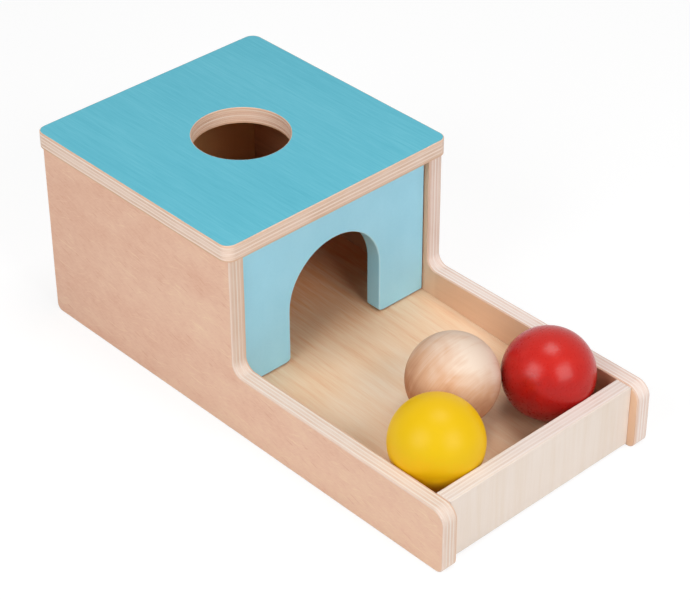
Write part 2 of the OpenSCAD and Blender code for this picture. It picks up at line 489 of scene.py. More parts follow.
@dataclass(frozen=True)
class SatinPaint:
    """An even satin paint on smooth board, with a faint orange peel, paler on the arrises.

    An arris lies between the face and the edge. How squarely the surface still looks forwards
    tells where its paleness starts and where it is full, off the face and off the edge.
    """

    name: str
    tone: Colour
    deep: Colour
    arris_pale: Colour
    gap_shade: Colour
    face: Axis
    figures: tuple[Figure, ...] = (
        Figure(60.0, 30.0, 0.7),
        Figure(14.0, 9.0, 0.4),
        Figure(1.6, 1.6, 0.25),
    )
    tone_level: float = 0.6
    off_face: tuple[float, float] = (1.0, 0.9)
    off_edge: tuple[float, float] = (0.25, 0.6)
    arris_paleness: float = 0.6
    gap_shade_width: float = 0.45
    roughness: float = 0.42
    variation: float = 0.12
    peel: float = 0.015
    peel_size: float = 1.3

    def material(self, reach: float, foot: float) -> bpy.types.Material:
        """Makes the material, with painted shade along the sides and the foot, by its neighbours.

        Args:
            reach: How far the board reaches to each side of the middle, to its neighbours.
            foot: The height of its lower edge.

        Returns:
            The finished material.
        """
        sheet = MaterialSheet(self.name)
        pattern = sheet.figure(self.figures, Axis.Z, self.face)
        colour = sheet.ramp(pattern, {0.0: self.deep, self.tone_level: self.tone})
        square = sheet.math("ABSOLUTE", sheet.split(sheet.facing)[self.face.value])
        off_face = sheet.step(square, *self.off_face)
        off_edge = sheet.step(square, *self.off_edge)
        paled_arris = sheet.math("MULTIPLY", sheet.math("MULTIPLY", off_face, off_edge), self.arris_paleness)
        colour = sheet.mix(paled_arris, colour, self.arris_pale)
        # painted shade: dark lines along the panel's sides and foot, in the gaps to its neighbours
        place = sheet.split(sheet.place)
        outwards = sheet.math("ABSOLUTE", place[Axis.X.value])
        shade_beside = sheet.step(outwards, (reach - self.gap_shade_width) * MM, reach * MM)
        shade_below = sheet.step(place[Axis.Z.value], (foot + self.gap_shade_width) * MM, foot * MM)
        colour = sheet.mix(sheet.math("MAXIMUM", shade_beside, shade_below), colour, self.gap_shade)
        peel = sheet.mottle(self.peel_size)
        rough = sheet.swing(peel, self.variation, about=self.roughness)
        return sheet.surface(colour, rough, peel, self.peel)


@dataclass(frozen=True)
class BallFinish:
    """A turned wooden ball, painted or oiled, whose grain lies in layers across an axis.

    Its tone starts from the base and rises towards one side by the amount, over the ball's
    width: painted light and shade. Seen at a slant, it takes on a painted rim shading, and
    its fine relief, the peel, fades out.
    """

    name: str
    dark: Colour
    tone: Colour
    pale: Colour
    painted_rim_shading: Colour
    axis: tuple[float, float, float]
    layers: tuple[Figure, ...]
    roughness: float
    sheen: float
    peel: float
    base: float
    towards: tuple[float, float, float]
    amount: float
    painted_rim_shading_strength: float = 0.7
    width: float = 48.0
    distortion: float = 0.4
    peel_size: float = 1.8
    variation: float = 0.06

    def material(self, centre: Sequence[float]) -> bpy.types.Material:
        """Makes the material.

        Args:
            centre: The ball's centre, in millimetres.

        Returns:
            The finished material.
        """
        sheet = MaterialSheet(self.name)
        angles = Vector(self.axis).to_track_quat("Z", "Y").to_euler()
        turn = [math.degrees(angle) for angle in angles]
        pattern: Value = self.base
        for number, layer in enumerate(self.layers):
            size = [layer.length, layer.length, layer.width]
            middle = [c + sheet.APART * number for c in centre]
            noise = sheet.noise(sheet.marks(size, turn, middle), layer.detail, self.distortion)
            pattern = sheet.math("ADD", pattern, sheet.swing(noise, layer.weight))
        # painted light and shade: the tone rises towards one side of the ball
        reach = Vector(self.towards).normalized() * (self.amount / self.width)
        away = sheet.vector("SUBTRACT", sheet.place, [c * MM for c in centre])
        feeds = {0: away, 1: reach / MM}
        along = sheet.add("ShaderNodeVectorMath", feeds, operation="DOT_PRODUCT").outputs["Value"]
        shade = sheet.math("ADD", pattern, along)
        colour = sheet.ramp(shade, {0.0: self.dark, 0.5: self.tone, 1.0: self.pale})
        # painted rim shading: at a slant the colour turns to the painted rim tone
        slant = sheet.add("ShaderNodeLayerWeight", {"Blend": 0.5}).outputs["Facing"]
        colour = sheet.mix(sheet.math("MULTIPLY", slant, self.painted_rim_shading_strength), colour, self.painted_rim_shading)
        peel = sheet.mottle(self.peel_size)
        rough = sheet.swing(peel, self.variation, about=self.roughness)
        share = sheet.math("SUBTRACT", 1.0, slant)
        return sheet.surface(colour, rough, peel, self.peel, share, self.sheen)


# ---------------------------------------------------------------- palette

# A wood face is given by its name, its dark, middle and pale tones, the directions of its grain
# and of its face, and its figures. A figure or layer is given by its length, width and weight.
OUTER_FIGURES = (
    Figure(60.0, 20.0, 0.6),
    Figure(26.0, 6.0, 0.35),
    Figure(15.0, 12.0, 0.4),
    Figure(24.0, 1.1, 0.2),
    Figure(7.0, 0.5, 0.32),
    Figure(5.0, 4.0, 0.24),
    Figure(5.5, 1.1, 0.5, lean=27.0, detail=3.0),
    Figure(4.5, 0.9, 0.42, lean=-34.0, detail=3.0),
    Figure(18.0, 0.9, 0.4, lean=6.0, detail=0.0, rare=True),
    Figure(13.0, 0.9, 0.26, lean=-20.0, detail=0.0, rare=True),
    Figure(9.0, 1.0, -0.36, lean=17.0, detail=0.0, rare=True),
)
FLOOR_FIGURES = (
    Figure(260.0, 14.0, 0.6),
    Figure(200.0, 3.2, 0.5, lean=2.5),
    Figure(170.0, 0.9, 0.46, lean=-1.5),
    Figure(40.0, 0.5, 0.28),
)
PLAIN_FIGURES = (Figure(120.0, 12.0, 0.7), Figure(60.0, 1.8, 0.35), Figure(14.0, 0.45, 0.25))
INNER_FIGURES = (Figure(120.0, 12.0, 0.34), Figure(60.0, 1.8, 0.16), Figure(14.0, 0.45, 0.16))
RAIL_FIGURES = (Figure(120.0, 13.0, 0.6), Figure(60.0, 2.6, 0.36), Figure(14.0, 0.45, 0.2))
STAIN_FIGURES = (Figure(160.0, 40.0, 0.5), Figure(36.0, 1.2, 0.6), Figure(12.0, 0.7, 0.5))
PAINT_LAYERS = (Figure(24.0, 9.0, 0.4), Figure(5.0, 4.0, 0.3), Figure(1.4, 1.2, 0.12))
OIL_LAYERS = (
    Figure(16.0, 13.0, 0.9),
    Figure(60.0, 5.0, 0.3),
    Figure(44.0, 1.5, 0.25),
    Figure(18.0, 0.7, 0.24),
)

OUTER_VENEER = WoodFace(
    "outer_veneer",
    *tints("dba98f", "e6bca2", "edcbac"),
    Axis.Y,
    Axis.X,
    OUTER_FIGURES,
    # painted light: the outer veneer grows lighter towards the front of the side panels
    fades=(Fade(Axis.Y, 150.0, -150.0, 0.3),),
    pin_pitch=70.0,
)
INNER_VENEER = WoodFace(
    "inner_veneer",
    *tints("724d2b", "d4a480", "eac1a0"),
    Axis.Y,
    Axis.X,
    INNER_FIGURES,
    # painted light: lighter on the strip beside the arch panel and on the ends past the rail
    # painted shade: darker towards the chamber and near the front corners behind the balls
    fades=(
        Fade(Axis.Y, 60.0, 8.0, 0.5),
        Fade(Axis.Y, 5.0, 2.0, 0.5),
        Fade(Axis.Y, -2.0, -9.0, -0.5),
        Fade(Axis.Y, -136.0, -112.0, 0.3),
        Fade(Axis.Y, -143.0, -145.0, 0.6, neutral=0.0),
    ),
)
REAR_VENEER = WoodFace(
    "rear_veneer", *tints("d1a070", "e5b182", "efc296"), Axis.Z, Axis.Y, PLAIN_FIGURES
)
# painted shade: a darker veneer inside the chamber, so that it looks deeply shaded
CHAMBER_VENEER = WoodFace(
    "chamber_veneer", *tints("bc8c5a", "cf9e6c", "d8ac7c"), Axis.Z, Axis.Y, INNER_FIGURES
)
LID_STAIN = WoodFace(
    "lid_blue_stain",
    *tints("4dabc0", "60b9cc", "73c5d6"),
    Axis.Y,
    Axis.Z,
    STAIN_FIGURES,
    roughness=0.55,
    pin_pitch=75.0,
)
# painted shade: a darker underside, which deepens the shade inside the chamber
LID_UNDERSIDE = WoodFace(
    "lid_underside_veneer", *tints("b98760", "cc9a6f", "d9ad84"), Axis.Y, Axis.Z, PLAIN_FIGURES
)
FLOOR_VENEER = WoodFace(
    "floor_veneer",
    *tints("e09e70", "eecaa6", "f6e0c6"),
    Axis.Y,
    Axis.Z,
    FLOOR_FIGURES,
    roughness=0.45,
    # painted light: lighter in the open middle of the tray, before the door
    # painted shade: darker into the doorway and chamber, towards the rail and by the right wall
    fades=(
        Fade(Axis.Y, 56.0, 14.0, 0.3, neutral=1.0),
        Fade(Axis.Y, 9.0, -4.0, 0.14, neutral=1.0),
        Fade(Axis.Y, -22.0, -44.0, 0.18, neutral=0.0),
        Fade(Axis.Y, -52.0, -70.0, -0.14, neutral=0.0),
        Fade(Axis.X, 60.0, 44.0, 0.1),
    ),
)
RAIL_VENEER = WoodFace(
    "rail_veneer", *tints("dcc6ac", "e9dbcf", "f3eae2"), Axis.Z, Axis.Y, RAIL_FIGURES
)
STRIP_WOOD = WoodFace(
    "strip_wood",
    *tints("c09468", "d9b48c", "e6c8a4"),
    Axis.Y,
    Axis.X,
    PLAIN_FIGURES,
    roughness=0.6,
)
DOWEL_WOOD = WoodFace(
    "dowel_wood",
    *tints("bf9468", "dab68e", "e8caa6"),
    Axis.Z,
    Axis.X,
    PLAIN_FIGURES,
    roughness=0.6,
)
# The arch paint's tints are its tone, its deep tone, its paler arris and its painted gap shade.
ARCH_PAINT = SatinPaint(
    "arch_blue_paint", *tints("a5e2f8", "99d9f0", "c4ecf8", "3c3028"), Axis.Y
)

# The tones of ply edges, pale, middle and dark, and of the veneers that show at their corners.
LEFT_PLY = tints("e8dacf", "ddc0ab", "c69e84")
RIGHT_PLY = tints("f3e6de", "e4c8b9", "c4a08d")
LID_PLY = tints("f2dfd2", "dcbda6", "a87858")
RAIL_PLY = tints("eae0da", "dccabf", "c09e8c")
HOLE_PLY = tints("f8e2d2", "e9c3a8", "a05f38")
SIDE_SKIN = tint("e2c9ba")
LID_SKIN = tint("e0b698")
STEP_FADE = Fade(Axis.Z, 38.0, 60.0, 0.1)

# The balls' tones are dark, middle, pale and rim, the last a painted rim shading.
BALL_FINISHES = {
    "red_ball": BallFinish(
        "red_ball_paint",
        *tints("8e1c1c", "bd170d", "ce271b", "b01312"),
        axis=(0.3, 0.5, 0.8),
        layers=PAINT_LAYERS,
        roughness=0.28,
        sheen=0.27,
        peel=0.03,
        base=0.5,
        towards=(0.62, 0.17, 0.77),
        amount=1.0,
    ),
    "yellow_ball": BallFinish(
        "yellow_ball_paint",
        *tints("deb50b", "dfb70c", "ecad0b", "ffc90c"),
        axis=(-0.5, 0.3, 0.8),
        layers=PAINT_LAYERS,
        roughness=0.4,
        sheen=0.18,
        peel=0.02,
        base=0.5,
        towards=(-0.4, -0.1, -0.9),
        amount=1.1,
        painted_rim_shading_strength=0.85,
    ),
    "natural_ball": BallFinish(
        "natural_ball_oil",
        *tints("b06f47", "d6a988", "e9d6c4", "cb946f"),
        axis=(0.005, -0.945, -0.312),
        layers=OIL_LAYERS,
        roughness=0.55,
        sheen=0.1,
        peel=0.02,
        base=0.4,
        towards=(0.43, -0.2, 0.87),
        amount=1.3,
        painted_rim_shading_strength=0.34,
    ),
}


# ---------------------------------------------------------------- boards


@dataclass(frozen=True)
class Corner:
    """A corner of a board's outline, or a point of a straight run where its easing changes."""

    x: float
    y: float
    radius: float
    ease: float

    @property
    def place(self) -> np.ndarray:
        """Its place as an array."""
        return np.array([self.x, self.y])


class Outline:
    """A closed outline of straight runs and round corners, with the wood on its left.

    Each point has its outward normal and the radius of the sanded arris there, which wavers a
    little along the outline, as sanding by hand leaves it. A straight run is cut into steps of no
    more than RUN, and an arc into chords that lie within SAG of it.
    """

    RUN = 6.0
    SAG = 0.006
    WIDEST_STEP = math.radians(15)
    SAME = 1e-6
    WAVER = 0.12
    WAVER_LENGTHS = (5.1, 13.7)

    def __init__(self, corners: Sequence[Corner]) -> None:
        """Works out the points, normals and easings.

        Args:
            corners: The corners in order.
        """
        rows: list[np.ndarray] = []
        arcs = [
            self._arc(corners[i - 1].place, corner, corners[(i + 1) % len(corners)].place)
            for i, corner in enumerate(corners)
        ]
        for arc, following in zip(arcs, arcs[1:] + arcs[:1]):
            last, first = arc[-1], following[0]
            steps = max(1, math.ceil(np.hypot(*(first[:2] - last[:2])) / self.RUN))
            run = [last + (first - last) * k / steps for k in range(1, steps)]
            for row in run:
                row[2:4] = last[2:4]
            rows += [*arc, *run]
        pairs = zip(rows, rows[-1:] + rows[:-1])
        kept = [row for row, before in pairs if np.hypot(*(row - before)[:2]) > self.SAME]
        table = np.array(kept)
        self.points, self.normals = table[:, :2], table[:, 2:4]
        walked = np.cumsum(np.hypot(*np.diff(self.points, axis=0, prepend=self.points[-1:]).T))
        waves = [np.sin(walked / length) for length in self.WAVER_LENGTHS]
        self.eases = table[:, 4] * (1 + self.WAVER * waves[0] * waves[1])

    def _arc(self, before: np.ndarray, corner: Corner, after: np.ndarray) -> list[np.ndarray]:
        """Rounds one corner.

        Args:
            before: The place of the corner before it.
            corner: The corner.
            after: The place of the corner after it.

        Returns:
            A row for each point: its x and y, its normal's x and y, and its easing.
        """
        incoming, outgoing = corner.place - before, after - corner.place
        incoming, outgoing = incoming / np.hypot(*incoming), outgoing / np.hypot(*outgoing)
        cross = incoming[0] * outgoing[1] - incoming[1] * outgoing[0]
        bend = math.atan2(cross, incoming @ outgoing)
        normal = np.array([incoming[1], -incoming[0]])
        side = math.copysign(1.0, bend)
        start = corner.place - incoming * corner.radius * math.tan(abs(bend) / 2)
        centre = start - side * normal * corner.radius
        steps = 0
        if corner.radius > 0 and abs(bend) > self.SAME:
            widest = min(self.WIDEST_STEP, 2 * math.acos(1 - self.SAG / corner.radius))
            steps = max(2, math.ceil(abs(bend) / widest))
        rows = []
        for k in range(steps + 1):
            angle = bend * k / max(1, steps)
            turned = np.array(
                [
                    normal[0] * math.cos(angle) - normal[1] * math.sin(angle),
                    normal[0] * math.sin(angle) + normal[1] * math.cos(angle),
                ]
            )
            rows.append(np.array([*(centre + side * turned * corner.radius), *turned, corner.ease]))
        return rows

    @classmethod
    def rectangle(
        cls, low: Sequence[float], high: Sequence[float], radius: float, ease: float
    ) -> "Outline":
        """Makes a rectangle with round corners."""
        places = ((low[0], low[1]), (high[0], low[1]), (high[0], high[1]), (low[0], high[1]))
        return cls([Corner(x, y, radius, ease) for x, y in places])

    @classmethod
    def round_hole(cls, centre: Sequence[float], radius: float, ease: float) -> "Outline":
        """Makes a round hole, which has the wood round it."""
        places = ((-radius, -radius), (-radius, radius), (radius, radius), (radius, -radius))
        return cls([Corner(centre[0] + x, centre[1] + y, radius, ease) for x, y in places])


class Zone(IntEnum):
    """The zones of a board's surface, each of which has its own finish."""

    LOW_FACE = 0
    HIGH_FACE = 1
    EDGES = 2
    HOLES = 3


@dataclass
class Board:
    """A flat board with eased arrises, from low to high along its thickness.

    The arrises belong to the edges or the holes that they run along. The normals of the mesh are
    those of the true round arrises.
    """

    name: str
    facing: Facing
    outer: Outline
    low: float
    high: float
    holes: tuple[Outline, ...] = ()
    arris_steps: int = 4

    def _rings(self, outline: Outline) -> tuple[np.ndarray, np.ndarray]:
        """Runs round one outline, once for each level of its edge.

        Args:
            outline: The outline.

        Returns:
            The rings of points, from low to high, and their normals.
        """
        points, normals = [], []
        quarter = [math.pi / 2 * k / self.arris_steps for k in range(self.arris_steps + 1)]
        for end, angles in ((-1, quarter), (1, quarter[::-1])):
            face = self.low if end < 0 else self.high
            for angle in angles:
                inset = (outline.eases * (1 - math.sin(angle)))[:, None]
                level = face - end * outline.eases * (1 - math.cos(angle))
                points.append(np.c_[outline.points - outline.normals * inset, level])
                rise = np.full(len(level), end * math.cos(angle))
                normals.append(np.c_[outline.normals * math.sin(angle), rise])
        return np.array(points), np.array(normals)

    def mesh(self) -> bpy.types.Mesh:
        """Writes the board as one closed mesh, in its place.

        Returns:
            The mesh, in metres.
        """
        points, normals, faces, zones = [], [], [], []
        caps: tuple[list, list] = ([], [])
        count = 0
        for outline in (self.outer, *self.holes):
            ring_points, ring_normals = self._rings(outline)
            rings, around = ring_points.shape[:2]
            numbers = count + np.arange(rings * around).reshape(rings, around)
            following = np.roll(numbers, -1, axis=1)
            quads = np.stack([numbers[:-1], following[:-1], following[1:], numbers[1:]], axis=-1)
            faces += quads.reshape(-1, 4).tolist()
            zone = Zone.EDGES if outline is self.outer else Zone.HOLES
            zones += [zone] * ((rings - 1) * around)
            for cap, ring in zip(caps, (0, -1)):
                cap.append((numbers[ring], ring_points[ring]))
            points.append(ring_points.reshape(-1, 3))
            normals.append(ring_normals.reshape(-1, 3))
            count += rings * around
        for zone, cap in zip((Zone.LOW_FACE, Zone.HIGH_FACE), caps):
            numbers = np.concatenate([part[0] for part in cap])
            flat = np.concatenate([part[1] for part in cap])[:, :2]
            loops = [[Vector((x, y, 0)) for x, y, _ in part[1]] for part in cap]
            for a, b, c in tessellate_polygon(loops):
                (ux, uy), (vx, vy) = flat[b] - flat[a], flat[c] - flat[a]
                if (ux * vy - uy * vx > 0) != (zone is Zone.HIGH_FACE):
                    b, c = c, b
                faces.append([int(numbers[i]) for i in (a, b, c)])
                zones.append(zone)
        turn = np.array(self.facing.value, float)
        mesh = bpy.data.meshes.new(self.name)
        mesh.from_pydata((np.concatenate(points) @ turn * MM).tolist(), [], faces)
        mesh.polygons.foreach_set("material_index", zones)
        mesh.polygons.foreach_set("use_smooth", [True] * len(faces))
        mesh.normals_split_custom_set_from_vertices((np.concatenate(normals) @ turn).tolist())
        return mesh

    def piece(self, *finishes: bpy.types.Material) -> bpy.types.Object:
        """Makes the board's object.

        Args:
            finishes: A material for each zone, in the order of Zone.

        Returns:
            The object.
        """
        mesh = self.mesh()
        for material in finishes:
            mesh.materials.append(material)
        return new_object(self.name, mesh)


def new_object(name: str, mesh: bpy.types.Mesh) -> bpy.types.Object:
    """Puts a mesh into the scene as an object at the origin.

    Args:
        name: The object's name.
        mesh: The mesh.

    Returns:
        The object.
    """
    made = bpy.data.objects.new(name, mesh)
    bpy.context.scene.collection.objects.link(made)
    return made


def enrol(piece: bpy.types.Object, body: str, slot: str, *nodes: str) -> None:
    """Fixes a finished piece to its body and lets it stand for its CAD nodes.

    Args:
        piece: The finished piece.
        body: The CAD body that it moves with.
        slot: The record's material slot, which is not used.
        nodes: The CAD nodes that it stands for.
    """
    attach(piece, body)
    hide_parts(*nodes)
    faces = len(piece.data.polygons)
    log.info("%s rides on %s, %d faces, for %s", piece.name, body, faces, ", ".join(nodes))


# ---------------------------------------------------------------- sub-assemblies


@dataclass
class SidePanels:
    """The two L-shaped side panels: tall beside the chamber, low beside the tray."""

    tray_height: float = 36.9
    step_y: float = -1.25
    step_radius: float = 6.5
    nose_top_radius: float = 8.0
    nose_foot_radius: float = 4.5
    heel_radius: float = 4.0
    hidden_radius: float = 1.3
    ease: float = 0.6

    def outline(self) -> Outline:
        """Draws a panel's outline.

        Returns:
            The outline, seen from the panel's right.
        """
        low, high = span("right_side")
        front, rear, top = low[1], high[1], high[2]
        return Outline(
            [
                Corner(front, 0.0, self.nose_foot_radius, self.ease),
                Corner(rear, 0.0, self.heel_radius, self.ease),
                Corner(rear, top, self.hidden_radius, self.ease),
                Corner(self.step_y, top, self.hidden_radius, self.ease),
                Corner(self.step_y, self.tray_height, self.step_radius, self.ease),
                Corner(front, self.tray_height, self.nose_top_radius, self.ease),
            ]
        )

    def build(self) -> None:
        """Builds and dresses both panels."""
        outer_face, inner_face = OUTER_VENEER.material(), INNER_VENEER.material()
        for node, tones in (("left_side", LEFT_PLY), ("right_side", RIGHT_PLY)):
            low, high = span(node)
            board = Board(f"{node}_board", Facing.SIDEWAYS, self.outline(), low[0], high[0])
            leftmost = high[0] < 0
            outer, inner = (low[0], high[0]) if leftmost else (high[0], low[0])
            skins = (SIDE_SKIN, INNER_VENEER.tone)
            name, fades = f"{node}_ply", (STEP_FADE,)
            edges = PlyEdge(name, Axis.X, outer, inner, Axis.Y, Axis.Z, tones, skins, fades)
            faces = (outer_face, inner_face) if leftmost else (inner_face, outer_face)
            enrol(board.piece(*faces, edges.material()), ROOT, "side_ply", node)


@dataclass
class Lid:
    """The lid with its drop hole: blue on top, with bare sanded edges."""

    corner_radius: float = 6.0
    hole_diameter: float = 52.2
    ease: float = 0.5
    rim_ease: float = 0.4
    edge_glue: float = 0.3
    hole_glue: float = 0.4
    hole_own: float = 0.3

    def build(self) -> None:
        """Builds and dresses the lid."""
        low, high = span("lid")
        outer = Outline.rectangle(low[:2], high[:2], self.corner_radius, self.ease)
        hole = Outline.round_hole((low + high)[:2] / 2, self.hole_diameter / 2, self.rim_ease)
        board = Board("lid_board", Facing.UPWARDS, outer, low[2], high[2], (hole,))
        skins = (LID_SKIN, LID_UNDERSIDE.tone)
        outside = (Axis.Z, high[2], low[2], Axis.Y, Axis.X)
        edges = PlyEdge("lid_ply", *outside, LID_PLY, skins, glue=self.edge_glue)
        wall = PlyEdge(
            "hole_ply", *outside, HOLE_PLY, skins, glue=self.hole_glue, own=self.hole_own
        )
        faces = (LID_UNDERSIDE, LID_STAIN)
        piece = board.piece(*(finish.material() for finish in (*faces, edges, wall)))
        enrol(piece, ROOT, "lid_blue", "lid")


@dataclass
class ArchPanel:
    """The painted panel between chamber and tray, with its arched doorway."""

    doorway_width: float = 62.9
    doorway_top: float = 84.41
    doorway_ease: float = 0.8
    toe_radius: float = 2.0
    foot_drop: float = 0.3
    foot_ease: float = 0.25
    ease: float = 0.5
    hidden_radius: float = 0.7

    def build(self) -> None:
        """Builds and dresses the panel."""
        low, high = span("arch_panel")
        half, reach = self.doorway_width / 2, high[0]
        foot, top = low[2] - self.foot_drop, high[2]
        outline = Outline(
            [
                Corner(-reach, foot, self.hidden_radius, self.foot_ease),
                Corner(-half - self.toe_radius * 2, foot, 0.0, self.foot_ease),
                Corner(-half, foot, self.toe_radius, self.doorway_ease),
                Corner(-half, self.doorway_top, half, self.doorway_ease),
                Corner(half, self.doorway_top, half, self.doorway_ease),
                Corner(half, foot, self.toe_radius, self.doorway_ease),
                Corner(half + self.toe_radius * 2, foot, 0.0, self.foot_ease),
                Corner(reach, foot, self.hidden_radius, self.foot_ease),
                Corner(reach, top, self.hidden_radius, self.ease),
                Corner(-reach, top, self.hidden_radius, self.ease),
            ]
        )
        board = Board("arch_board", Facing.FORWARDS, outline, -high[1], -low[1], arris_steps=6)
        paint = ARCH_PAINT.material(reach, foot)
        enrol(board.piece(paint, paint, paint), ROOT, "arch_blue", "arch_panel")


@dataclass
class EndBoards:
    """The front rail that stops the balls, and the rear panel."""

    ease: float = 0.5
    end_ease: float = 0.3
    end_radius: float = 0.5
    end_fade: float = 3.0

    def outline(self, low: np.ndarray, high: np.ndarray, top_ease: float) -> Outline:
        """Gives the outline of a board between the side panels, whose ends are hardly eased.

        Args:
            low: The board's lowest corner.
            high: The board's highest corner.
            top_ease: The easing of its top arrises.

        Returns:
            The outline, seen from the front.
        """
        left, right, foot, top = low[0], high[0], low[2], high[2]
        places = ((left, foot), (right, foot), (right, top), (left, top))
        ends = [Corner(x, z, self.end_radius, self.end_ease) for x, z in places]
        fades = [
            Corner(left + self.end_fade, foot, 0.0, self.ease),
            Corner(right - self.end_fade, foot, 0.0, self.ease),
            Corner(right - self.end_fade, top, 0.0, top_ease),
            Corner(left + self.end_fade, top, 0.0, top_ease),
        ]
        return Outline([ends[0], fades[0], fades[1], ends[1], ends[2], fades[2], fades[3], ends[3]])

    def build(self) -> None:
        """Builds and dresses the rail and the rear panel."""
        for node, rear, front, slot, top_ease in (
            ("front_rail", RAIL_VENEER, RAIL_VENEER, "rail_ply", self.ease),
            ("rear_panel", REAR_VENEER, CHAMBER_VENEER, "inner_ply", self.end_ease),
        ):
            low, high = span(node)
            outline = self.outline(low, high, top_ease)
            board = Board(f"{node}_board", Facing.FORWARDS, outline, -high[1], -low[1])
            skins = (front.tone, rear.tone)
            across = (Axis.Y, low[1], high[1], Axis.X, Axis.Z)
            edges = PlyEdge(f"{node}_ply", *across, RAIL_PLY, skins)
            finishes = [finish.material() for finish in (rear, front, edges)]
            enrol(board.piece(*finishes), ROOT, slot, node)


@dataclass
class FloorAssembly:
    """The sloping floor board and the two cleats that carry it."""

    front_z: float = 14.1
    rear_z: float = 29.0
    floor_thickness: float = 5.0
    cleat_height: float = 6.0
    cleat_ease: float = 0.4
    floor_ease: float = 0.12
    floor_reach: float = 0.2
    radius: float = 0.5

    def outline(
        self, low: np.ndarray, high: np.ndarray, under: float, thickness: float, ease: float
    ) -> Outline:
        """Gives the side view of a strip that follows the slope.

        Args:
            low: The strip's lowest corner.
            high: The strip's highest corner.
            under: How far its top lies under the floor's top, measured square to the slope.
            thickness: Its thickness, measured square to the slope.
            ease: The radius of its arrises.

        Returns:
            The outline, seen from the right.
        """
        run = high[1] - low[1]
        stretch = math.hypot(run, self.rear_z - self.front_z) / run
        upper, lower = under * stretch, (under + thickness) * stretch
        places = (
            (low[1], self.front_z - lower),
            (high[1], self.rear_z - lower),
            (high[1], self.rear_z - upper),
            (low[1], self.front_z - upper),
        )
        return Outline([Corner(y, z, self.radius, ease) for y, z in places])

    def build(self) -> None:
        """Builds and dresses the floor, which closes up to the side panels, and the two cleats."""
        veneer, strip = FLOOR_VENEER.material(), STRIP_WOOD.material()
        low, high = span("floor_board")
        outline = self.outline(low, high, 0.0, self.floor_thickness, self.floor_ease)
        left, right = low[0] - self.floor_reach, high[0] + self.floor_reach
        board = Board("floor_board_strip", Facing.SIDEWAYS, outline, left, right)
        enrol(board.piece(veneer, veneer, veneer), ROOT, "floor_veneer", "floor_board")
        for node in ("left_cleat", "right_cleat"):
            low, high = span(node)
            outline = self.outline(
                low, high, self.floor_thickness, self.cleat_height, self.cleat_ease
            )
            board = Board(f"{node}_strip", Facing.SIDEWAYS, outline, low[0], high[0])
            enrol(board.piece(strip, strip, strip), ROOT, "hidden_wood", node)


class GeometrySheet(Sheet):
    """Writes one Geometry Nodes tree with named inputs and turns its result into a mesh."""

    KINDS = {
        float: "NodeSocketFloat",
        int: "NodeSocketInt",
        bpy.types.Material: "NodeSocketMaterial",
    }

    def __init__(self, name: str, inputs: dict[str, type]) -> None:
        """Starts a tree that takes a mesh and gives a mesh.

        Args:
            name: The tree's name.
            inputs: The names and types of its other inputs.
        """
        super().__init__(bpy.data.node_groups.new(name, "GeometryNodeTree"))
        join = self.tree.interface.new_socket
        join(name="Geometry", in_out="INPUT", socket_type="NodeSocketGeometry")
        self.identifiers = {
            label: join(name=label, in_out="INPUT", socket_type=self.KINDS[kind]).identifier
            for label, kind in inputs.items()
        }
        join(name="Geometry", in_out="OUTPUT", socket_type="NodeSocketGeometry")
        self.given = self.add("NodeGroupInput").outputs

    def end(self, geometry: Socket) -> None:
        """Ends the tree with real geometry in its finish.

        Args:
            geometry: The tree's geometry, which may still be instances.
        """
        real = self.add("GeometryNodeRealizeInstances", {0: geometry})
        feeds = {"Geometry": real.outputs[0], "Material": self.given["Finish"]}
        self.add("NodeGroupOutput", {0: self.add("GeometryNodeSetMaterial", feeds).outputs[0]})

    def grow(self, name: str, seeds: bpy.types.Mesh, values: dict[str, object]) -> bpy.types.Object:
        """Runs the tree on a mesh of points.

        Args:
            name: The new piece's name.
            seeds: The points that the tree starts from.
            values: A value for each named input.

        Returns:
            An object that holds the result as a plain mesh.
        """
        piece = new_object(name, seeds)
        modifier = piece.modifiers.new(self.tree.name, "NODES")
        modifier.node_group = self.tree
        for label, value in values.items():
            modifier[self.identifiers[label]] = value
        graph = bpy.context.evaluated_depsgraph_get()
        mesh = bpy.data.meshes.new_from_object(piece.evaluated_get(graph))
        piece.modifiers.remove(modifier)
        piece.data = mesh
        return piece


